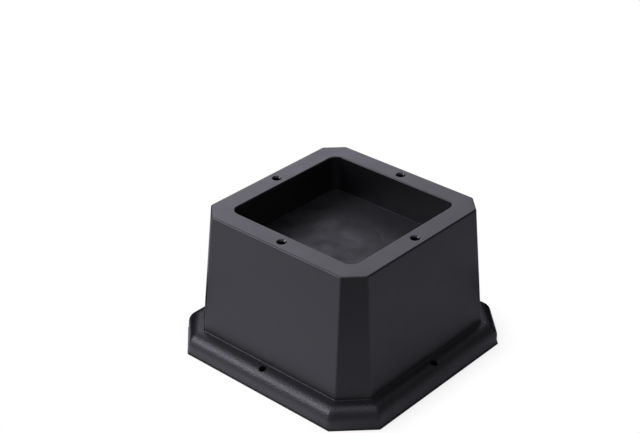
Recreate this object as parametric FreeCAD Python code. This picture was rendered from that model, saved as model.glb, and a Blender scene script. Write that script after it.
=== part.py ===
import FreeCAD, Part
import math
import os

from FreeCAD import Vector

# A bed riser: one moulding with an eight-sided drafted wall, a rounded flange at its foot,
# a square recess in its top for a bed leg, and a ribbed hollow underside.
# Millimetres, +Z up, origin at the centre of the base.

# Driving dimensions: heights
lift_height = 76.2
recess_depth = 25.4

# Driving dimensions: leg recess and the flat rim round it
recess_width = 104.8
recess_draft = 3.0
recess_corner_radius = 7.0
recess_floor_radius = 1.5
recess_mouth_radius = 1.6
recess_wall_thickness = 3.2
floor_thickness = 4.5
rim_width = 14.75
rim_thickness = 4.0

# Driving dimensions: eight-sided outer wall
top_corner_cut = 11.7
wall_draft = 4.9
wall_thickness = 3.2
top_edge_radius = 1.2
crease_radius = 2.5

# Driving dimensions: foot flange
flange_height = 15.0
flange_projection = 11.1
flange_slope = 7.5
flange_shoulder_radius = 8.7
flange_foot_radius = 1.2

# Driving dimensions: ribs under the floor
ring_rib_radius = 26.0
rib_edge_thickness = 2.4
rib_draft = 0.5

# Driving dimensions: screw holes in the middle of each side
rim_hole_diameter = 4.5
rim_hole_sink = 1.2
flange_hole_diameter = 4.5
flange_hole_offset = 4.6

# Working allowances
cut_overrun = 1.0
smallest_inner_radius = 0.4
level_tolerance = 0.05

# Sizes that follow from the driving dimensions
overall_height = lift_height + recess_depth
top_width = recess_width + 2 * rim_width
draft_run = math.tan(math.radians(wall_draft))
draft_stretch = 1 / math.cos(math.radians(wall_draft))
slope_run = math.tan(math.radians(flange_slope))
slope_stretch = 1 / math.cos(math.radians(flange_slope))
recess_draft_run = math.tan(math.radians(recess_draft))
recess_draft_stretch = 1 / math.cos(math.radians(recess_draft))
rib_draft_run = math.tan(math.radians(rib_draft))

side_reach = top_width / 2
corner_reach = (top_width - top_corner_cut) / math.sqrt(2)
recess_reach = recess_width / 2
foot_spread = (overall_height - flange_height) * draft_run
base_spread = foot_spread + flange_projection
rim_middle = recess_reach + rim_width / 2
flange_hole_reach = side_reach + foot_spread + flange_hole_offset
bar_length = 4 * (corner_reach + base_spread)

# Headings, in degrees about +Z, of the faces on the four sides and on the four cut corners
side_headings = (0, 90, 180, 270)
corner_headings = (45, 135, 225, 315)


def flat_point(across, up):
    """A point of a profile drawn in the XZ plane."""
    return Vector(across, 0, up)


def turned(shape, heading):
    """A copy of a shape, turned about +Z."""
    copy = shape.copy()
    copy.rotate(Vector(0, 0, 0), Vector(0, 0, 1), heading)
    return copy


def rounded_corner(before, corner, after, radius):
    """Start, middle and end of the arc that rounds the corner of two straight lines."""
    towards_before = (before - corner).normalize()
    towards_after = (after - corner).normalize()
    half_angle = towards_before.getAngle(towards_after) / 2
    bisector = (towards_before + towards_after).normalize()
    setback = radius / math.tan(half_angle)
    centre = corner + bisector * (radius / math.sin(half_angle))
    return corner + towards_before * setback, centre - bisector * radius, corner + towards_after * setback


def rounded_path(points, radii):
    """Edges of a path of straight lines, with one rounding radius for each inner corner, or None."""
    edges = []
    last = points[0]
    for index, radius in enumerate(radii):
        if radius is None:
            edges.append(Part.LineSegment(last, points[index + 1]).toShape())
            last = points[index + 1]
            continue
        start, middle, end = rounded_corner(points[index], points[index + 1], points[index + 2], radius)
        edges.append(Part.LineSegment(last, start).toShape())
        edges.append(Part.Arc(start, middle, end).toShape())
        last = end
    edges.append(Part.LineSegment(last, points[-1]).toShape())
    return edges


def bar_between_flanks(half_outline, bottom, half_width):
    """A straight bar along Y whose section is a half outline and its mirror image."""
    mirrored = [edge.mirror(Vector(0, 0, 0), Vector(1, 0, 0)) for edge in half_outline]
    sole = Part.LineSegment(flat_point(-half_width, bottom), flat_point(half_width, bottom)).toShape()
    section = Part.Wire(Part.sortEdges(half_outline + mirrored + [sole])[0])
    bar = Part.Face(section).extrude(Vector(0, bar_length, 0))
    bar.translate(Vector(0, -bar_length / 2, 0))
    return bar


def flank_bar(reach, inset, bottom, top, edge_radius):
    """The bar between two opposite flanks of the riser, each moved in from the outside by inset."""
    outer_foot = reach + foot_spread
    outer_face = outer_foot + flange_projection - inset

    def wall_across(up):
        return reach + (overall_height - up) * draft_run - inset * draft_stretch

    def flange_up(across):
        return flange_height - (across - outer_foot) * slope_run - inset * slope_stretch

    # Height at which the drafted wall meets the sloping top of the flange
    foot_up = (flange_up(0) - slope_run * wall_across(0)) / (1 - slope_run * draft_run)
    points = [
        flat_point(outer_face, bottom),
        flat_point(outer_face, flange_up(outer_face)),
        flat_point(wall_across(foot_up), foot_up),
        flat_point(wall_across(top), top),
        flat_point(0, top),
    ]
    shoulder_radius = max(flange_shoulder_radius - inset, smallest_inner_radius)
    outline = rounded_path(points, [shoulder_radius, flange_foot_radius + inset, edge_radius])
    return bar_between_flanks(outline, bottom, outer_face)


def eight_sided_form(inset, bottom, top, edge_radius):
    """What four crossed bars have in common, so that all their faces meet in mitred corners."""
    side_bar = flank_bar(side_reach, inset, bottom, top, edge_radius)
    corner_bar = flank_bar(corner_reach, inset, bottom, top, edge_radius)
    form = side_bar.common(turned(side_bar, side_headings[1]))
    for heading in corner_headings[:2]:
        form = form.common(turned(corner_bar, heading))
    return form


def tapered_cup(grow, bottom, top, corner_radius, floor_radius):
    """A square form that widens upwards with the recess, grown outwards from the recess wall."""
    def half_width(up):
        return recess_reach - (overall_height - up) * recess_draft_run + grow * recess_draft_stretch

    points = [flat_point(half_width(bottom), bottom), flat_point(half_width(top), top), flat_point(0, top)]
    bar = bar_between_flanks(Part.makePolygon(points).Edges, bottom, half_width(bottom))
    cup = bar.common(turned(bar, side_headings[1]))
    corner_edges = [edge for edge in cup.Edges if edge.BoundBox.ZLength > (top - bottom) / 2]
    cup = cup.makeFillet(corner_radius, corner_edges)
    floor_edges = [edge for edge in cup.Edges if edge.BoundBox.ZMax < (top + bottom) / 2]
    return cup.makeFillet(floor_radius, floor_edges)


def rib_section(height):
    """A rib's section: its thin edge stands on the base, and it thickens towards its root."""
    edge = rib_edge_thickness / 2
    root = edge + height * rib_draft_run
    points = [flat_point(-edge, 0), flat_point(edge, 0), flat_point(root, height), flat_point(-root, height)]
    return Part.Face(Part.makePolygon(points + points[:1]))


def ring_rib():
    """The round rib under the middle of the floor."""
    section = rib_section(lift_height - floor_thickness / 2)
    section.translate(Vector(ring_rib_radius, 0, 0))
    return section.revolve(Vector(0, 0, 0), Vector(0, 0, 1), 360)


def corner_ribs():
    """Ribs on the diagonals, from the round rib out into the walls of the cut corners and up into the rim."""
    long_rib = rib_section(overall_height - rim_thickness / 2).extrude(Vector(0, bar_length / 2, 0))
    inside_ring = Part.makeCylinder(ring_rib_radius, overall_height)
    middle_of_wall = eight_sided_form(wall_thickness / 2, 0, overall_height, None)
    rib = turned(long_rib, corner_headings[0]).cut(inside_ring).common(middle_of_wall)
    return [turned(rib, heading) for heading in side_headings]


def rim_hole():
    """A countersunk hole through the rim, at the middle of the +X side."""
    radius = rim_hole_diameter / 2
    depth = rim_thickness + cut_overrun
    sink_start = Vector(rim_middle, 0, overall_height - rim_hole_sink)
    sink_height = rim_hole_sink + cut_overrun
    shank = Part.makeCylinder(radius, depth, Vector(rim_middle, 0, overall_height - depth))
    return shank.fuse(Part.makeCone(radius, radius + sink_height, sink_height, sink_start))


def flange_hole():
    """A plain upright hole through the flange, at the middle of the +X side."""
    return Part.makeCylinder(flange_hole_diameter / 2, flange_height, Vector(flange_hole_reach, 0, 0))


def rim_edges(body):
    """The edges round the flat of the rim: those on the outside, and those at the mouth of the recess."""
    outside = []
    mouth = []
    for edge in body.Edges:
        box = edge.BoundBox
        if box.ZMin > overall_height - level_tolerance:
            farthest = max(box.XMax, -box.XMin, box.YMax, -box.YMin)
            edges = mouth if farthest < recess_reach + rim_width / 2 else outside
            edges.append(edge)
    return outside, mouth


def with_rounded_edges(body):
    """The body with its outer creases rounded from the top down to the base, and then both edges of its rim."""
    creases = []
    for edge in body.Edges:
        box = edge.BoundBox
        if box.ZLength > overall_height / 2 and box.ZMax > overall_height - level_tolerance:
            creases.append(edge)
    body = body.makeFillet(crease_radius, creases)
    body = body.makeFillet(top_edge_radius, rim_edges(body)[0])
    return body.makeFillet(recess_mouth_radius, rim_edges(body)[1])


def riser_body():
    """The whole moulding."""
    outside = eight_sided_form(0, 0, overall_height, None)
    hollow = eight_sided_form(wall_thickness, -cut_overrun, overall_height - rim_thickness, wall_thickness / 2)
    cup = tapered_cup(
        recess_wall_thickness,
        lift_height - floor_thickness,
        overall_height - rim_thickness / 2,
        recess_corner_radius + recess_wall_thickness,
        recess_floor_radius + recess_wall_thickness / 2,
    )
    top_of_cut = overall_height + cut_overrun
    recess = tapered_cup(0, lift_height, top_of_cut, recess_corner_radius, recess_floor_radius)
    body = outside.cut(hollow)
    body = body.fuse([cup, ring_rib()] + corner_ribs())
    body = with_rounded_edges(body.cut(recess).removeSplitter())
    holes = []
    for heading in side_headings:
        holes.append(turned(rim_hole(), heading))
        holes.append(turned(flange_hole(), heading))
    return body.cut(holes).Solids[0]


os.makedirs("parts", exist_ok=True)
riser = riser_body()
riser.exportStep("parts/riser_body.step")
print("valid", riser.isValid(), "volume cm3", round(riser.Volume / 1000, 1), "faces", len(riser.Faces))
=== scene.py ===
# %% [markdown]
# # A bed riser in moulded black plastic
# A bed riser is a block that stands under the leg of a bed and lifts it. This one is a single
# moulding: a drafted wall with cut corners, a rolled flange at its foot, a square recess in its
# top for the leg, and a hollow underside with ribs.
#
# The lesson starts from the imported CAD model.

# %% Load the frame
import math

import bpy
from mathutils import Matrix, Vector


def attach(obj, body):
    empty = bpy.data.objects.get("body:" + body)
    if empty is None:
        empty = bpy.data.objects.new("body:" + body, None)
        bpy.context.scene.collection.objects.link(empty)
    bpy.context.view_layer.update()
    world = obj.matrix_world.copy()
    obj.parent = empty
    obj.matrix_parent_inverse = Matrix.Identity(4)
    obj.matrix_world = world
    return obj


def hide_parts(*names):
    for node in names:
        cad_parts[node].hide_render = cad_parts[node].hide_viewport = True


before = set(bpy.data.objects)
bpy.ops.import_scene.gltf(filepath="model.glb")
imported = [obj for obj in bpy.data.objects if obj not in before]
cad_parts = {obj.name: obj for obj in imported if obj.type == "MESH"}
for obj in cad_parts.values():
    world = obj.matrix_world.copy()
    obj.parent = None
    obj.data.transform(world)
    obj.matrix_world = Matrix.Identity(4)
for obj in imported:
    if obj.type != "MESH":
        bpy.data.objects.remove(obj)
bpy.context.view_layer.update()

# %% [markdown]
# ## The camera
# The picture looks down on one cut corner of the riser, from about thirty degrees above the
# floor, through a longish lens. A camera can be placed by hand, but here its heading, its
# elevation and its distance are known from the riser's edges, so three turns, one after the
# other, make its rotation, and it backs away from the point that it looks at.

# %% Camera
camera_heading = math.radians(41.406)
camera_elevation = math.radians(29.8204)
camera_roll = math.radians(0.1791)
camera_distance = 1.02469
camera_aim = Vector((-0.03845, 0.02038, 0.07103))

camera_data = bpy.data.cameras.new("camera")
camera_data.sensor_fit = "HORIZONTAL"
camera_data.sensor_width = 36.0
camera_data.lens = 83.5808
camera = bpy.data.objects.new("camera", camera_data)
bpy.context.scene.collection.objects.link(camera)
camera_turn = (
    Matrix.Rotation(camera_heading, 4, "Z")
    @ Matrix.Rotation(math.pi / 2 - camera_elevation, 4, "X")
    @ Matrix.Rotation(camera_roll, 4, "Z")
)
camera_back = camera_turn.to_3x3() @ Vector((0, 0, 1))
camera.matrix_world = Matrix.Translation(camera_aim + camera_back * camera_distance) @ camera_turn
bpy.context.scene.camera = camera
print("camera at", [round(value, 4) for value in camera_aim + camera_back * camera_distance])

# %% [markdown]
# ## Numbers that a node tree works out
# The riser's shape follows a rule: one section, carried round a square whose corners are cut.
# Geometry Nodes can hold such a rule, so that a change to one size changes the whole moulding.
# A rule needs arithmetic, and in a tree every sum is a Math node. The small class below lets the
# script write `top - depth` and get that node, wired up, so that the rule stays readable.

# %% Arithmetic in a tree
class Measure:
    """A value inside a node tree. Sums and products of it become Math nodes."""

    def __init__(self, tree, socket):
        self.tree = tree
        self.socket = socket

    def combined(self, operation, *others):
        """This value and others, put through one Math node."""
        node = self.tree.nodes.new("ShaderNodeMath")
        node.operation = operation
        for place, value in enumerate((self,) + others):
            feed(node.inputs[place], value)
        return Measure(self.tree, node.outputs[0])

    def __add__(self, other):
        return self.combined("ADD", other)

    def __sub__(self, other):
        return self.combined("SUBTRACT", other)

    def __mul__(self, other):
        return self.combined("MULTIPLY", other)

    def __truediv__(self, other):
        return self.combined("DIVIDE", other)


def feed(socket, value):
    """Links a measure to a socket, or sets the socket to a plain value."""
    if isinstance(value, Measure):
        value.tree.links.new(value.socket, socket)
    else:
        socket.default_value = value


# %% Nodes and named inputs
def add_node(tree, kind, inputs=None, **settings):
    """Adds a node, makes its settings and feeds its inputs, which go by name."""
    node = tree.nodes.new(kind)
    for name, value in settings.items():
        setattr(node, name, value)
    for name, value in (inputs or {}).items():
        feed(node.inputs[name], value)
    return node


def result(tree, kind, inputs=None, **settings):
    """The first output of a new node."""
    return Measure(tree, add_node(tree, kind, inputs, **settings).outputs[0])


def tree_with_inputs(name, inputs):
    """A new tree with named inputs, given as (name, kind of socket, starting value)."""
    tree = bpy.data.node_groups.new(name, "GeometryNodeTree")
    tree.interface.new_socket("Geometry", in_out="OUTPUT", socket_type="NodeSocketGeometry")
    identifiers = {}
    for title, kind, value in inputs:
        socket = tree.interface.new_socket(title, in_out="INPUT", socket_type=kind)
        if value is not None:
            socket.default_value = value
        identifiers[title] = socket.identifier
    entrance = tree.nodes.new("NodeGroupInput")
    measures = {title: Measure(tree, entrance.outputs[title]) for title in identifiers}
    return tree, measures, identifiers


def hand_out(tree, geometry):
    """Makes a geometry the tree's result."""
    feed(tree.nodes.new("NodeGroupOutput").inputs["Geometry"], geometry)


# %% [markdown]
# ## A section carried round the riser
# Every level line of the riser is a square: with cut corners outside, with round corners in the
# recess, and a full circle at the round rib. Each cut corner has two creases, and both are arcs.
# So one small tree can draw them all. It lays a grid, one row for each point of the section and
# one column for each point round the riser, and moves every grid point to its place. A point's
# reach from the middle and its height come from the section. How round its corner is comes from
# two numbers stored on the section: a radius to start from, and how the radius grows with reach.
# Modelling one corner and mirroring it would work too, but the rule makes all corners at once,
# and even facets for the light to run over.

# %% Grid of rows and columns
millimetre = 0.001
weld_distance = 0.002 * millimetre
creases_all_round = 8

carry_round, given, _ = tree_with_inputs("section_carried_round", (
    ("Section", "NodeSocketGeometry", None),
    ("Corner Step", "NodeSocketFloat", 0.0),
    ("Columns per Crease", "NodeSocketInt", 8),
))
section = given["Section"]
crease_columns = given["Columns per Crease"]
section_size = add_node(
    carry_round, "GeometryNodeAttributeDomainSize", {"Geometry": section}, component="CURVE"
)
rows = Measure(carry_round, section_size.outputs["Point Count"])
columns = crease_columns * creases_all_round + 1
grid = result(carry_round, "GeometryNodeMeshGrid", {"Vertices X": columns, "Vertices Y": rows})


def whole_part(value, divisor):
    """How many whole times the divisor goes into a value."""
    return (value / divisor).combined("FLOOR")


point_number = result(carry_round, "GeometryNodeInputIndex")
column = whole_part(point_number, rows)
row = point_number - column * rows
crease = whole_part(column, crease_columns)
corner = whole_part(crease, 2.0)
second_crease = crease - corner * 2.0
way_along_arc = (column - crease * crease_columns) / (crease_columns - 1.0)


# %% What the section says at a row
def from_section(value, kind):
    """A value of the section's point that belongs to the grid point's row."""
    inputs = {"Geometry": section, "Value": value, "Index": row}
    return result(carry_round, "GeometryNodeSampleIndex", inputs, data_type=kind)


def stored_on_section(name):
    """A number stored on the section's points."""
    stored = result(carry_round, "GeometryNodeInputNamedAttribute", {"Name": name})
    return from_section(stored, "FLOAT")


section_place = from_section(result(carry_round, "GeometryNodeInputPosition"), "FLOAT_VECTOR")
section_axes = add_node(carry_round, "ShaderNodeSeparateXYZ", {"Vector": section_place})
reach = Measure(carry_round, section_axes.outputs["X"])
level = Measure(carry_round, section_axes.outputs["Z"])
rounding = stored_on_section("radius_start") + stored_on_section("radius_growth") * reach
square = stored_on_section("square")

# %% Where each grid point goes
straight = reach - rounding
cut_diagonal = reach + given["Corner Step"]
square_diagonal = straight * math.sqrt(2) + rounding
diagonal = cut_diagonal + square * (square_diagonal - cut_diagonal)
sideways = (diagonal - rounding) * math.sqrt(2) - straight
arc_angle = (second_crease + way_along_arc) * (math.pi / 4)
arc_x = straight + second_crease * (sideways - straight)
arc_y = sideways + second_crease * (straight - sideways)
corner_place = result(carry_round, "ShaderNodeCombineXYZ", {
    "X": arc_x + rounding * arc_angle.combined("COSINE"),
    "Y": arc_y + rounding * arc_angle.combined("SINE"),
    "Z": level,
})
place = result(
    carry_round,
    "ShaderNodeVectorRotate",
    {"Vector": corner_place, "Angle": corner * (math.pi / 2)},
    rotation_type="Z_AXIS",
)
skin = result(carry_round, "GeometryNodeSetPosition", {"Geometry": grid, "Position": place})
skin = result(carry_round, "GeometryNodeFlipFaces", {"Mesh": skin})
skin = result(
    carry_round, "GeometryNodeMergeByDistance", {"Geometry": skin, "Distance": weld_distance}
)
hand_out(carry_round, skin)
print("carrying tree:", len(carry_round.nodes), "nodes")

# %% [markdown]
# ## The riser's sizes
# A moulding is drawn with few sizes: heights, wall thicknesses, radii, and the draft that lets it
# leave the mould. They become the named inputs of the riser's own tree, in millimetres here and
# in metres there.

# %% Named inputs of the riser's tree
riser_lengths = {
    "Height": 101.6,
    "Recess Depth": 25.4,
    "Recess Width": 104.8,
    "Recess Corner Radius": 7.0,
    "Recess Floor Fillet": 0.2,
    "Recess Mouth Fillet": 0.8,
    "Rim Width": 14.75,
    "Rim Thickness": 4.0,
    "Floor Thickness": 4.5,
    "Wall Thickness": 3.2,
    "Corner Cut": 11.7,
    "Crease Radius": 2.5,
    "Top Edge Fillet": 1.2,
    "Flange Height": 15.0,
    "Flange Projection": 11.1,
    "Flange Shoulder Radius": 8.7,
    "Flange Foot Fillet": 0.5,
    "Base Edge Fillet": 0.3,
    "Ring Rib Radius": 26.0,
    "Rib Thickness": 2.4,
    "Sink Mark Width": 2.8,
    "Sink Mark Depth": 0.06,
    "Screw Hole": 5.0,
    "Screw Sink": 0.95,
    "Flange Hole Offset": 4.6,
}
riser_angles = {"Wall Draft": 4.9, "Recess Draft": 3.0, "Flange Slope": 7.5, "Rib Draft": 0.5}
flange_corner_growth = 0.25

riser_inputs = [("Geometry", "NodeSocketGeometry", None)]
for title in list(riser_lengths) + list(riser_angles) + ["Flange Corner Growth"]:
    riser_inputs.append((title, "NodeSocketFloat", 0.0))
riser_inputs.append(("Plastic", "NodeSocketMaterial", None))
moulding, size, input_names = tree_with_inputs("bed_riser_moulding", riser_inputs)
print("riser inputs:", len(input_names))

# %% Sizes that follow from the inputs
nothing = size["Height"] * 0.0
top = size["Height"]
seat = top - size["Recess Depth"]
rim_underside = top - size["Rim Thickness"]
floor_underside = seat - size["Floor Thickness"]
recess_reach = size["Recess Width"] / 2.0
side_reach = recess_reach + size["Rim Width"]
corner_step = (side_reach * 2.0 - size["Corner Cut"]) / math.sqrt(2) - side_reach
wall_thickness = size["Wall Thickness"]


def run_and_stretch(angle):
    """How far a drafted face runs per unit of height, and how much longer its thickness gets across."""
    return angle.combined("TANGENT"), angle.combined("COSINE").combined("POWER", -1.0)


wall_run, wall_stretch = run_and_stretch(size["Wall Draft"])
recess_run, recess_stretch = run_and_stretch(size["Recess Draft"])
slope_run, slope_stretch = run_and_stretch(size["Flange Slope"])
rib_run, _ = run_and_stretch(size["Rib Draft"])
foot_reach = side_reach + (top - size["Flange Height"]) * wall_run
base_reach = foot_reach + size["Flange Projection"]


def wall_reach(height, inset):
    """Reach of the outer wall at a height, moved in through its thickness by inset."""
    return side_reach + (top - height) * wall_run - wall_stretch * inset


def ledge_height(reach_here, inset):
    """Height of the flange's sloping top at a reach, moved in by inset."""
    return size["Flange Height"] - (reach_here - foot_reach) * slope_run - slope_stretch * inset


def recess_wall_reach(height, grow):
    """Reach of the recess wall at a height, moved out by grow."""
    return recess_reach - (top - height) * recess_run + recess_stretch * grow


# %% [markdown]
# ## From a list of stations to a skin
# A section is listed as stations: reach, height, the radius that rounds the section there, and
# the rule for its corners. The stations become a line, Fillet Curve rounds it, and the carrying
# tree takes it round. A fillet's points keep the numbers of their station, so a rounded edge
# keeps its corner rule all the way along.

# %% Corner rules
circle = (0.0, 1.0, 1.0)


def square_corner(reach_here, radius):
    """A square whose corner radius is right at one reach and shrinks inwards with the square."""
    return (radius - reach_here, 1.0, 1.0)


def cut_corner(reach_here, radius, growth):
    """A square with cut corners, whose crease radius changes with reach by growth."""
    return (radius - reach_here * growth, growth, 0.0)


# %% A section, and its skin
def by_station(values):
    """A value for each point of a section, chosen by the point's number."""
    switch = moulding.nodes.new("GeometryNodeIndexSwitch")
    switch.data_type = "FLOAT"
    while len(switch.index_switch_items) < len(values):
        switch.index_switch_items.new()
    feed(switch.inputs["Index"], result(moulding, "GeometryNodeInputIndex"))
    for number, value in enumerate(values):
        feed(switch.inputs[number + 1], value)
    return Measure(moulding, switch.outputs[0])


def section_line(stations, fillet_points):
    """The line through the stations, with its corners rounded and its corner rules stored on it."""
    reaches, heights, fillets, rules = zip(*stations)
    line = result(moulding, "GeometryNodeMeshLine", {"Count": len(stations)})
    drawn = {"X": by_station(reaches), "Z": by_station(heights)}
    line = result(moulding, "GeometryNodeSetPosition", {
        "Geometry": line,
        "Position": result(moulding, "ShaderNodeCombineXYZ", drawn),
    })
    starts, growths, squares = zip(*rules)
    stored = {"radius_start": starts, "radius_growth": growths, "square": squares, "fillet": fillets}
    for name, values in stored.items():
        line = result(moulding, "GeometryNodeStoreNamedAttribute", {
            "Geometry": line,
            "Name": name,
            "Value": by_station(values),
        })
    curve = result(moulding, "GeometryNodeMeshToCurve", {"Mesh": line})
    radius = result(moulding, "GeometryNodeInputNamedAttribute", {"Name": "fillet"})
    rounded = {"Curve": curve, "Count": fillet_points, "Radius": radius, "Limit Radius": True}
    return result(moulding, "GeometryNodeFilletCurve", rounded, mode="POLY")


def carried_round(stations, fillet_points, columns):
    """The closed skin that a section makes when it is carried round the riser."""
    node = moulding.nodes.new("GeometryNodeGroup")
    node.node_tree = carry_round
    feed(node.inputs["Section"], section_line(stations, fillet_points))
    feed(node.inputs["Corner Step"], corner_step)
    feed(node.inputs["Columns per Crease"], columns)
    return Measure(moulding, node.outputs[0])


# %% [markdown]
# ## The shell
# The section of the shell starts in the middle of the recess floor, climbs the recess wall,
# crosses the rim, goes down the drafted wall, rolls over the flange to the base and comes back
# inside, one wall thickness away. On the recess floor it dips a little over the round rib: thick
# plastic shrinks as it cools, and that leaves a faint ring, a sink mark.

# %% Stations of a flank
def flank(inset):
    """Where the flank's line turns when it is moved in by inset: its shoulder, and its foot."""
    face = base_reach - inset
    shoulder = (face, ledge_height(face, inset))
    ledge_at_middle = ledge_height(nothing, inset)
    wall_at_base = wall_reach(nothing, inset)
    foot_height = (ledge_at_middle - slope_run * wall_at_base) / (nothing + 1.0 - slope_run * wall_run)
    return shoulder, (wall_reach(foot_height, inset), foot_height)


shoulder, foot = flank(0.0)
inner_shoulder, inner_foot = flank(wall_thickness)
crease_radius = size["Crease Radius"]
wall_crease = cut_corner(nothing, crease_radius, 0.0)
flange_crease = cut_corner(foot[0], crease_radius, size["Flange Corner Growth"])
rim_crease = cut_corner(side_reach, crease_radius, 1.0)
inner_crease = cut_corner(nothing, size["Base Edge Fillet"], 0.0)

# %% Stations of the recess
ring_radius = size["Ring Rib Radius"]
mark_reach = size["Sink Mark Width"] / 2.0
mark_edge_fillet = 8 * millimetre
mark_bottom_fillet = 12 * millimetre
seat_reach = recess_wall_reach(seat, 0.0)
seat_corner = square_corner(seat_reach, size["Recess Corner Radius"])
mouth_corner = square_corner(recess_reach, size["Recess Corner Radius"])
recess_stations = [
    (0.0, seat, 0.0, circle),
    (ring_radius - mark_reach, seat, mark_edge_fillet, circle),
    (ring_radius, seat - size["Sink Mark Depth"], mark_bottom_fillet, circle),
    (ring_radius + mark_reach, seat, mark_edge_fillet, circle),
    (seat_reach, seat, size["Recess Floor Fillet"], seat_corner),
    (recess_reach, top, size["Recess Mouth Fillet"], mouth_corner),
]

# %% Stations outside and inside
base_edge = size["Base Edge Fillet"]
outside_stations = [
    (side_reach, top, size["Top Edge Fillet"], rim_crease),
    foot + (size["Flange Foot Fillet"], wall_crease),
    shoulder + (size["Flange Shoulder Radius"], flange_crease),
    (base_reach, 0.0, base_edge, flange_crease),
]
cup_corner_radius = size["Recess Corner Radius"] + wall_thickness
cup_floor_fillet = size["Recess Floor Fillet"] + wall_thickness / 2.0
cup_top_reach = recess_wall_reach(rim_underside, wall_thickness)
cup_low_reach = recess_wall_reach(floor_underside, wall_thickness)
inside_stations = [
    (inner_shoulder[0], 0.0, base_edge, inner_crease),
    inner_shoulder + (size["Flange Shoulder Radius"] - wall_thickness, inner_crease),
    inner_foot + (size["Flange Foot Fillet"] + wall_thickness, inner_crease),
    (wall_reach(rim_underside, wall_thickness), rim_underside, wall_thickness / 2.0, inner_crease),
    (cup_top_reach, rim_underside, base_edge, square_corner(cup_top_reach, cup_corner_radius)),
    (cup_low_reach, floor_underside, cup_floor_fillet, square_corner(cup_low_reach, cup_corner_radius)),
    (0.0, floor_underside, 0.0, circle),
]

# Points on each rounded edge of a section, and columns on each crease
fine_fillet = 8
fine_crease = 8
unrounded = 1
shell_stations = recess_stations + outside_stations + inside_stations
shell = carried_round(shell_stations, fine_fillet, fine_crease)
print("shell:", len(shell_stations), "stations")

# %% [markdown]
# ## The ribs underneath
# A round rib carries the middle of the floor, and four straight ribs run from it along the
# diagonals into the walls of the cut corners. The round one is one more section carried round.
# The straight ones are one plate, instanced four times. They are made too long, and what sticks
# out of the walls or into the recess is cut away with two plain cores, which end in the middle
# of the plastic so that the ribs root in it.

# %% Round rib
rib_half = size["Rib Thickness"] / 2.0
ring_height = seat - size["Floor Thickness"] / 2.0
ring_root = rib_half + ring_height * rib_run
ring_rib = carried_round([
    (ring_radius - rib_half, 0.0, 0.0, circle),
    (ring_radius - ring_root, ring_height, 0.0, circle),
    (ring_radius + ring_root, ring_height, 0.0, circle),
    (ring_radius + rib_half, 0.0, 0.0, circle),
    (ring_radius - rib_half, 0.0, 0.0, circle),
], unrounded, fine_crease)


# %% Four of a kind, and cutting
def four_times(shape, first_turn):
    """Four copies of a shape, a quarter turn apart, as one real mesh."""
    points = result(moulding, "GeometryNodeMeshLine", {"Count": 4, "Offset": (0.0, 0.0, 0.0)})
    turn = result(moulding, "GeometryNodeInputIndex") * (math.pi / 2) + first_turn
    copies = {"Points": points, "Instance": shape}
    copies["Rotation"] = result(moulding, "ShaderNodeCombineXYZ", {"Z": turn})
    instances = result(moulding, "GeometryNodeInstanceOnPoints", copies)
    return result(moulding, "GeometryNodeRealizeInstances", {"Geometry": instances})


def boolean(operation, first, *others):
    """Closed meshes joined, cut or crossed."""
    node = add_node(moulding, "GeometryNodeMeshBoolean", operation=operation, solver="MANIFOLD")
    feed(node.inputs["Mesh 1" if operation == "DIFFERENCE" else "Mesh 2"], first)
    for other in others:
        feed(node.inputs["Mesh 2"], other)
    return Measure(moulding, node.outputs["Mesh"])


# %% Cores in the middle of the plastic
core_fillet = 6
core_crease = 3
cup_core_fillet = 4
cup_core_crease = 4
middle_shoulder, middle_foot = flank(wall_thickness / 2.0)
core_top = top - size["Rim Thickness"] / 2.0
wall_core = carried_round([
    (0.0, core_top, 0.0, circle),
    (wall_reach(core_top, wall_thickness / 2.0), core_top, 0.0, inner_crease),
    middle_foot + (size["Flange Foot Fillet"], inner_crease),
    middle_shoulder + (size["Flange Shoulder Radius"] - wall_thickness / 2.0, inner_crease),
    (middle_shoulder[0], 0.0, 0.0, inner_crease),
    (0.0, 0.0, 0.0, circle),
], core_fillet, core_crease)
cup_core_low = recess_wall_reach(ring_height, wall_thickness / 2.0)
cup_core_high = recess_wall_reach(top, wall_thickness / 2.0)
cup_core_corner = size["Recess Corner Radius"] + wall_thickness / 2.0
cup_core = carried_round([
    (0.0, top, 0.0, circle),
    (cup_core_high, top, 0.0, square_corner(cup_core_high, cup_core_corner)),
    (cup_core_low, ring_height, cup_floor_fillet, square_corner(cup_core_low, cup_core_corner)),
    (0.0, ring_height, 0.0, circle),
], cup_core_fillet, cup_core_crease)

# %% Straight ribs
plate_length = base_reach + corner_step
plate_size = {"X": plate_length, "Y": 2.0, "Z": top}
plate = result(moulding, "GeometryNodeMeshCube", {
    "Size": result(moulding, "ShaderNodeCombineXYZ", plate_size),
})
plate_place = result(moulding, "GeometryNodeInputPosition")
plate_axes = add_node(moulding, "ShaderNodeSeparateXYZ", {"Vector": plate_place})
plate_x, plate_side, plate_z = (Measure(moulding, axis) for axis in plate_axes.outputs)
plate_height = plate_z + top / 2.0
tapered = {
    "X": plate_x + plate_length / 2.0 + ring_radius,
    "Y": plate_side * (rib_half + plate_height * rib_run),
    "Z": plate_height,
}
plate = result(moulding, "GeometryNodeSetPosition", {
    "Geometry": plate,
    "Position": result(moulding, "ShaderNodeCombineXYZ", tapered),
})
ribs = boolean("INTERSECT", four_times(plate, math.pi / 4), wall_core)
ribs = boolean("DIFFERENCE", ribs, cup_core)
body = boolean("UNION", shell, ring_rib, ribs)
print("riser tree so far:", len(moulding.nodes), "nodes")

# %% [markdown]
# ## Screw holes
# Each side has a countersunk hole in the middle of the rim and a plain hole in the flange. The
# cutters are sections carried round as circles, moved out to their side and copied four times.

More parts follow.
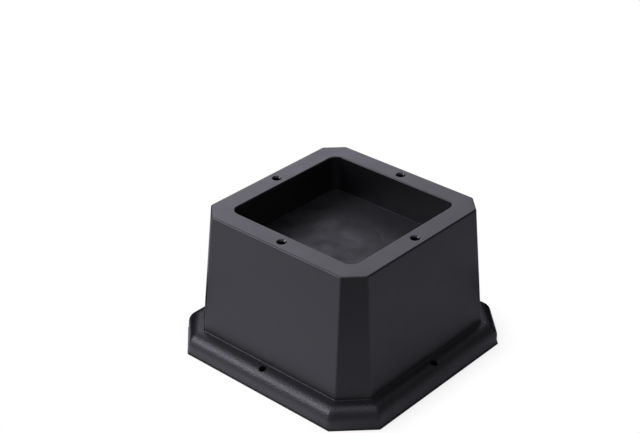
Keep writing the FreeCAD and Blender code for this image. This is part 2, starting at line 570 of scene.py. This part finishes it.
# %% Holes
cut_overrun = 1 * millimetre
hole_radius = size["Screw Hole"] / 2.0
sink_mouth = hole_radius + size["Screw Sink"] + cut_overrun
rim_cutter = carried_round([
    (0.0, top + cut_overrun, 0.0, circle),
    (sink_mouth, top + cut_overrun, 0.0, circle),
    (hole_radius, top - size["Screw Sink"], 0.0, circle),
    (hole_radius, rim_underside - cut_overrun, 0.0, circle),
    (0.0, rim_underside - cut_overrun, 0.0, circle),
], unrounded, fine_crease)
flange_cut_top = size["Flange Height"] + cut_overrun
flange_cut_bottom = size["Flange Height"] / 3.0
flange_cutter = carried_round([
    (0.0, flange_cut_top, 0.0, circle),
    (hole_radius, flange_cut_top, 0.0, circle),
    (hole_radius, flange_cut_bottom, 0.0, circle),
    (0.0, flange_cut_bottom, 0.0, circle),
], unrounded, fine_crease)


def on_each_side(shape, reach_here):
    """Four copies of a shape, each moved out to the middle of a side."""
    shift = result(moulding, "ShaderNodeCombineXYZ", {"X": reach_here})
    moved = result(moulding, "GeometryNodeTransform", {"Geometry": shape, "Translation": shift})
    return four_times(moved, 0.0)


rim_holes = on_each_side(rim_cutter, recess_reach + size["Rim Width"] / 2.0)
flange_holes = on_each_side(flange_cutter, foot_reach + size["Flange Hole Offset"])
body = boolean("DIFFERENCE", body, rim_holes, flange_holes)

# %% [markdown]
# ## Smooth, but with clean edges
# All faces are shaded smooth, and an edge that turns by more than about thirty degrees is marked
# sharp: that keeps the holes and the feet of the ribs crisp. A Weighted Normal modifier then lets
# the large flat faces decide the shading next to them, so that the walls stay flat to the eye.

# %% Finish of the tree
sharp_turn = math.radians(32)
body = result(
    moulding, "GeometryNodeMergeByDistance", {"Geometry": body, "Distance": weld_distance}
)
body = result(moulding, "GeometryNodeSetShadeSmooth", {"Geometry": body})
edge_turn = result(moulding, "GeometryNodeInputMeshEdgeAngle")
sharp = result(moulding, "FunctionNodeCompare", {"A": edge_turn, "B": sharp_turn})
body = result(
    moulding,
    "GeometryNodeSetShadeSmooth",
    {"Geometry": body, "Selection": sharp, "Shade Smooth": False},
    domain="EDGE",
)
body = result(moulding, "GeometryNodeRealizeInstances", {"Geometry": body})
body = result(moulding, "GeometryNodeSetMaterial", {"Geometry": body, "Material": size["Plastic"]})
hand_out(moulding, body)
print("riser tree:", len(moulding.nodes), "nodes")

# %% [markdown]
# ## Black plastic
# The plastic is black all through, and its own colour is next to nothing: what the eye sees is
# the room, mirrored softly in a skin that the mould has left satin. The walls of the mould were
# etched finely and its flange more coarsely, so the plastic has two grains. Both are one effect
# at two scales, so it is a shader group, built once and placed twice. It reads Object
# coordinates, which keep the grain on the riser from every side.

# %% Moulded grain
grain_inputs = (
    ("Position", "NodeSocketVector"),
    ("Grains per Metre", "NodeSocketFloat"),
    ("Depth", "NodeSocketFloat"),
)
grain = bpy.data.node_groups.new("moulded_grain", "ShaderNodeTree")
for title, kind in grain_inputs:
    grain.interface.new_socket(title, in_out="INPUT", socket_type=kind)
grain.interface.new_socket("Height", in_out="OUTPUT", socket_type="NodeSocketFloat")
grain_entrance = grain.nodes.new("NodeGroupInput")
grain_given = {title: Measure(grain, grain_entrance.outputs[title]) for title, _ in grain_inputs}
middle_of_noise = 0.5
pits = result(grain, "ShaderNodeTexNoise", {
    "Vector": grain_given["Position"],
    "Scale": grain_given["Grains per Metre"],
    "Detail": 2.0,
    "Roughness": 0.5,
})
pit_height = (pits - middle_of_noise) * grain_given["Depth"]
feed(grain.nodes.new("NodeGroupOutput").inputs["Height"], pit_height)
print("grain group:", len(grain.nodes), "nodes")

# %% Plastic, and the place on it
plastic = bpy.data.materials.new("black_plastic_satin")
plastic.use_nodes = True
plastic_tree = plastic.node_tree
shader = plastic_tree.nodes["Principled BSDF"]
shader.inputs["IOR"].default_value = 1.5
object_place = Measure(plastic_tree, add_node(plastic_tree, "ShaderNodeTexCoord").outputs["Object"])
place_axes = add_node(plastic_tree, "ShaderNodeSeparateXYZ", {"Vector": object_place})
place_x, place_y, place_z = (Measure(plastic_tree, axis) for axis in place_axes.outputs)
distance_x = place_x.combined("ABSOLUTE")
distance_y = place_y.combined("ABSOLUTE")
outward = distance_x.combined("MAXIMUM", distance_y)
along_side = distance_x.combined("MINIMUM", distance_y)

# %% [markdown]
# ## Where the finish changes
# The finish isn't the same everywhere. The flange has the coarse grain, the floor of the recess
# has a cloudy sheen from handling, and the sinks of the rim holes are smooth. Each of the three
# is a mask: one where the finish is and nought elsewhere, worked out from the place on the riser.

# %% Masks of the flange, the recess floor and the sinks
def eased(value, start, end, start_value=0.0, end_value=1.0):
    """Goes smoothly from one value to another while the given value goes from start to end."""
    inputs = {"Value": value, "From Min": start, "From Max": end}
    inputs.update({"To Min": start_value, "To Max": end_value})
    return result(value.tree, "ShaderNodeMapRange", inputs, interpolation_type="SMOOTHSTEP")


# Heights and reaches on the riser, in metres
flange_grain_top = 0.0162
flange_grain_full = 0.0150
on_flange = eased(place_z, flange_grain_top, flange_grain_full)

recess_floor_top = 0.0768
recess_floor_low = 0.0756
recess_half = 0.0515
inside_walls = outward.combined("LESS_THAN", recess_half)
above_underside = place_z.combined("GREATER_THAN", recess_floor_low)
below_walls = place_z.combined("LESS_THAN", recess_floor_top)
on_recess_floor = inside_walls * above_underside * below_walls

rim_hole_reach = (riser_lengths["Recess Width"] + riser_lengths["Rim Width"]) / 2 * millimetre
sink_radius = 3.6 * millimetre
sink_low = 0.098
from_hole = outward - rim_hole_reach
hole_distance = (from_hole * from_hole + along_side * along_side).combined("SQRT")
near_hole = hole_distance.combined("LESS_THAN", sink_radius)
on_sink = near_hole * place_z.combined("GREATER_THAN", sink_low)
print("rim holes at", round(rim_hole_reach, 4), "m from the middle")

# %% Fine and coarse grain
fine_grains_per_metre = 1500.0
fine_depth = 0.022
coarse_grains_per_metre = 760.0
coarse_depth = 0.27


def grain_height(grains_per_metre, depth):
    """The moulded grain at one scale, with its depth in millimetres."""
    node = add_node(plastic_tree, "ShaderNodeGroup", node_tree=grain)
    feed(node.inputs["Position"], object_place)
    feed(node.inputs["Grains per Metre"], grains_per_metre)
    feed(node.inputs["Depth"], depth)
    return Measure(plastic_tree, node.outputs["Height"])


coarse_grain = grain_height(coarse_grains_per_metre, coarse_depth) * on_flange
grain_relief = grain_height(fine_grains_per_metre, fine_depth) + coarse_grain
relief = result(plastic_tree, "ShaderNodeBump", {"Height": grain_relief, "Distance": millimetre})
feed(shader.inputs["Normal"], relief)

# %% Gloss that changes a little
flange_roughening = 0.02
floor_clouding = 0.45
floor_polish = 0.09
sink_polish = 0.18
clouds = result(plastic_tree, "ShaderNodeTexNoise", {"Vector": object_place, "Scale": 70.0, "Detail": 4.0})
satin = result(plastic_tree, "ShaderNodeMapRange", {
    "Value": clouds,
    "From Min": 0.3,
    "From Max": 0.7,
    "To Min": 0.31,
    "To Max": 0.37,
})
roughness = satin + on_flange * flange_roughening
roughness = roughness + on_recess_floor * (clouds * floor_clouding - floor_polish)
roughness = roughness - coarse_grain - on_sink * sink_polish
feed(shader.inputs["Roughness"], roughness)


# %% Colour between two blacks
def mixed_colours(share, first, second):
    """A colour between two. A Mix node for colours holds them in its inputs 6 and 7."""
    node = add_node(share.tree, "ShaderNodeMix", {"Factor": share}, data_type="RGBA")
    node.inputs[6].default_value = first
    node.inputs[7].default_value = second
    return Measure(share.tree, node.outputs[2])


deep_black = (0.0038, 0.0037, 0.0042, 1)
soft_black = (0.0060, 0.0058, 0.0066, 1)
feed(shader.inputs["Base Color"], mixed_colours(clouds, deep_black, soft_black))
print("plastic:", len(plastic_tree.nodes), "nodes")

# %% [markdown]
# ## From tree to mesh
# The sizes go into the modifier, by the identifiers of the tree's inputs. The evaluated result is
# then kept as a plain mesh, which rides on the riser's body and stands for the CAD node.

# %% Riser
riser = bpy.data.objects.new("riser_moulding", bpy.data.meshes.new("riser_seed"))
bpy.context.scene.collection.objects.link(riser)
moulder = riser.modifiers.new("moulding", "NODES")
moulder.node_group = moulding
for title, length in riser_lengths.items():
    moulder[input_names[title]] = length * millimetre
for title, angle in riser_angles.items():
    moulder[input_names[title]] = math.radians(angle)
moulder[input_names["Flange Corner Growth"]] = flange_corner_growth
moulder[input_names["Plastic"]] = plastic
even_shading = riser.modifiers.new("even_shading", "WEIGHTED_NORMAL")
even_shading.keep_sharp = True

depsgraph = bpy.context.evaluated_depsgraph_get()
seed_mesh = riser.data
riser_mesh = bpy.data.meshes.new_from_object(riser.evaluated_get(depsgraph), depsgraph=depsgraph)
riser.modifiers.clear()
riser.data = riser_mesh
riser_mesh.name = "riser_moulding"
bpy.data.meshes.remove(seed_mesh)
riser_mesh.materials.clear()
riser_mesh.materials.append(plastic)
riser_mesh.polygons.foreach_set("material_index", [0] * len(riser_mesh.polygons))
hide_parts("riser_body")
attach(riser, "root")
print("riser faces:", len(riser_mesh.polygons))

# %% [markdown]
# ## The paper floor
# The riser stands on white paper without an edge. Paper that is only lit would be grey somewhere,
# so the camera sees a plain white glow in its place. On the side away from the main light, some of
# the lit paper shows through close to the riser, where the ambient occlusion is, and that is the
# contact shadow. Reflections see the glow on the side of the main light, as painted light that
# stands for the paper lit most brightly there, and lit paper elsewhere. The lit paper's colour is
# painted light and shade too: lighter near the riser, darker far from it, and dark under the riser,
# where no light comes and there is no glow at all.

# %% Paper sheet
paper_reach = 3.0
corner_signs = ((-1, -1), (1, -1), (1, 1), (-1, 1))
floor_corners = [(x * paper_reach, y * paper_reach, 0.0) for x, y in corner_signs]
floor_mesh = bpy.data.meshes.new("floor")
floor_mesh.from_pydata(floor_corners, [], [(0, 1, 2, 3)])
floor = bpy.data.objects.new("floor", floor_mesh)
bpy.context.scene.collection.objects.link(floor)
print("paper:", 2 * paper_reach, "metres wide")

# %% The place on the paper
paper = bpy.data.materials.new("white_paper")
paper.use_nodes = True
paper_tree = paper.node_tree
paper_tree.nodes.clear()
floor_mesh.materials.append(paper)
paper_place = Measure(paper_tree, add_node(paper_tree, "ShaderNodeTexCoord").outputs["Object"])
paper_axes = add_node(paper_tree, "ShaderNodeSeparateXYZ", {"Vector": paper_place})
paper_x = Measure(paper_tree, paper_axes.outputs["X"])
paper_y = Measure(paper_tree, paper_axes.outputs["Y"])
from_centre = (paper_x * paper_x + paper_y * paper_y).combined("SQRT")


# %% Masks of the open paper and of the main light's side
def rest_of(share):
    """What a share leaves of one whole."""
    return share * -1.0 + 1.0


# The covered square reaches a little past the flange's foot, so the painted shade under the riser also
# shows as a thin dark line round it
under_reach = 0.0864
under_diagonal = 0.1059
across_x = paper_x.combined("ABSOLUTE")
across_y = paper_y.combined("ABSOLUTE")
inside_sides = across_x.combined("MAXIMUM", across_y).combined("LESS_THAN", under_reach)
inside_corners = (across_x + across_y).combined("LESS_THAN", under_diagonal * math.sqrt(2))
open_floor = rest_of(inside_sides * inside_corners)

# Where the main light's side begins, and where it is full, along X and along Y
main_light_x = (0.10, 0.03)
main_light_y = (-0.03, -0.09)
main_side = eased(paper_x, *main_light_x) * eased(paper_y, *main_light_y)

# %% Lit paper, and its glow
light_tint = (0.98, 0.95, 1.10, 1)
plain_white = (1, 1, 1, 1)

# The paper's colour is painted light and shade: lighter near the riser and darker far from it,
# and painted dark underneath
painted_falloff_span = (0.14, 0.40)
painted_light_near = 0.70
painted_light_far = 0.30
# Painted shade: the share of the paper's colour that is left under the riser
painted_shade_under = 0.1
painted_falloff = eased(from_centre, *painted_falloff_span, painted_light_near, painted_light_far)
painted_light_and_shade = painted_falloff * (open_floor * (1 - painted_shade_under) + painted_shade_under)
lit_paper = result(paper_tree, "ShaderNodeBsdfDiffuse", {"Color": painted_light_and_shade})
rays = add_node(paper_tree, "ShaderNodeLightPath")
seen_by_camera = Measure(paper_tree, rays.outputs["Is Camera Ray"])
seen_in_gloss = Measure(paper_tree, rays.outputs["Is Glossy Ray"])
glow_colour = mixed_colours(seen_by_camera, light_tint, plain_white)
glow = result(paper_tree, "ShaderNodeEmission", {"Color": glow_colour, "Strength": 1.0})


# %% Contact shadow, and the mix
def mixed_shaders(share, first, second):
    """Two shaders in one: the first where the share is nought, the second where it is one."""
    node = add_node(share.tree, "ShaderNodeMixShader", {"Fac": share})
    feed(node.inputs[1], first)
    feed(node.inputs[2], second)
    return Measure(share.tree, node.outputs[0])


contact_distance = 0.016
contact_depth = 0.45
occlusion = add_node(paper_tree, "ShaderNodeAmbientOcclusion", {"Distance": contact_distance}, samples=16)
openness = Measure(paper_tree, occlusion.outputs["AO"])
contact_shadow = rest_of(openness) * contact_depth * rest_of(main_side)
camera_share = seen_by_camera * open_floor * rest_of(contact_shadow)
# Painted light: reflections see the paper glowing on the main light's side, where a lit floor would be
# brightest
gloss_share = seen_in_gloss * open_floor * main_side
paper_output = add_node(paper_tree, "ShaderNodeOutputMaterial")
feed(paper_output.inputs["Surface"], mixed_shaders(camera_share + gloss_share, lit_paper, glow))
print("paper:", len(paper_tree.nodes), "nodes")

# %% [markdown]
# ## Black flags
# A photographer stands black cards beside a glossy black object, so that the faces seen at a
# grazing angle don't turn white. Two such cards, as long as the riser's sides and low enough to
# leave most of its walls alone, stand behind its flange. Only reflections see them.

# %% Flags
flag_low = 0.001
flag_high = 0.030
flags = (
    ("flag_left", (-0.103, -0.105), (-0.103, 0.095)),
    ("flag_right", (-0.095, 0.103), (0.105, 0.103)),
)
flag_black = bpy.data.materials.new("black_flag")
flag_black.use_nodes = True
flag_shader = flag_black.node_tree.nodes["Principled BSDF"]
flag_shader.inputs["Base Color"].default_value = (0.01, 0.01, 0.01, 1)
flag_shader.inputs["Roughness"].default_value = 0.8
for title, start, end in flags:
    flag_mesh = bpy.data.meshes.new(title)
    flag_corners = [(*start, flag_low), (*end, flag_low), (*end, flag_high), (*start, flag_high)]
    flag_mesh.from_pydata(flag_corners, [], [(0, 1, 2, 3)])
    flag_mesh.materials.append(flag_black)
    flag = bpy.data.objects.new(title, flag_mesh)
    bpy.context.scene.collection.objects.link(flag)
    flag.visible_camera = False
    flag.visible_diffuse = False
    flag.visible_shadow = False
print("flags:", [title for title, *_ in flags])

# %% [markdown]
# ## Soft studio light
# The room is nearly empty, with a few large soft lights. Lamps could stand for them, but a black
# satin surface shows the shape of every lamp, so the world itself holds the lights, as soft
# patches of brightness in given directions. Where the room is darker than the rest, a patch takes
# brightness away, and never more than there is. To the camera the world is white.

# %% Soft lights
# Name, heading and elevation in degrees, sharpness, strength
soft_lights = (
    ("main_left", 312, 32, 24.0, 7.2),
    ("back_low", 225, 15, 24.0, 1.75),
    ("back_high", 232, 33, 30.0, 1.1),
    ("overhead", 0, 82, 10.0, 1.2),
    ("dark_right", 155, 35, 4.0, -0.24),
    ("dark_left_corner", 250, 17, 26.0, -0.46),
    ("dark_right_corner", 191, 17, 26.0, -0.20),
)
room_strength = 0.33
world = bpy.data.worlds.new("studio")
world.use_nodes = True
bpy.context.scene.world = world
world_tree = world.node_tree
world_tree.nodes.clear()
sky_place = Measure(world_tree, add_node(world_tree, "ShaderNodeTexCoord").outputs["Generated"])


def soft_light(heading, elevation, sharpness, strength):
    """A patch of brightness in the world that fades away from one direction, given in degrees."""
    turn = math.radians(heading)
    rise = math.radians(elevation)
    direction = (math.sin(turn) * math.cos(rise), -math.cos(turn) * math.cos(rise), math.sin(rise))
    facing = add_node(world_tree, "ShaderNodeVectorMath", operation="DOT_PRODUCT")
    feed(facing.inputs[0], sky_place)
    feed(facing.inputs[1], direction)
    towards = Measure(world_tree, facing.outputs["Value"]).combined("MAXIMUM", 0.0)
    return towards.combined("POWER", sharpness) * strength


brightness = room_strength
for _, *light in soft_lights:
    brightness = soft_light(*light) + brightness
room = result(world_tree, "ShaderNodeBackground", {"Color": light_tint, "Strength": brightness})
backdrop = result(world_tree, "ShaderNodeBackground", {"Color": plain_white, "Strength": 1.0})
world_rays = add_node(world_tree, "ShaderNodeLightPath")
world_to_camera = Measure(world_tree, world_rays.outputs["Is Camera Ray"])
world_output = add_node(world_tree, "ShaderNodeOutputWorld")
feed(world_output.inputs["Surface"], mixed_shaders(world_to_camera, room, backdrop))
print("soft lights:", [name for name, *_ in soft_lights])

# %% Finish
bpy.context.scene.view_settings.view_transform = "Standard"
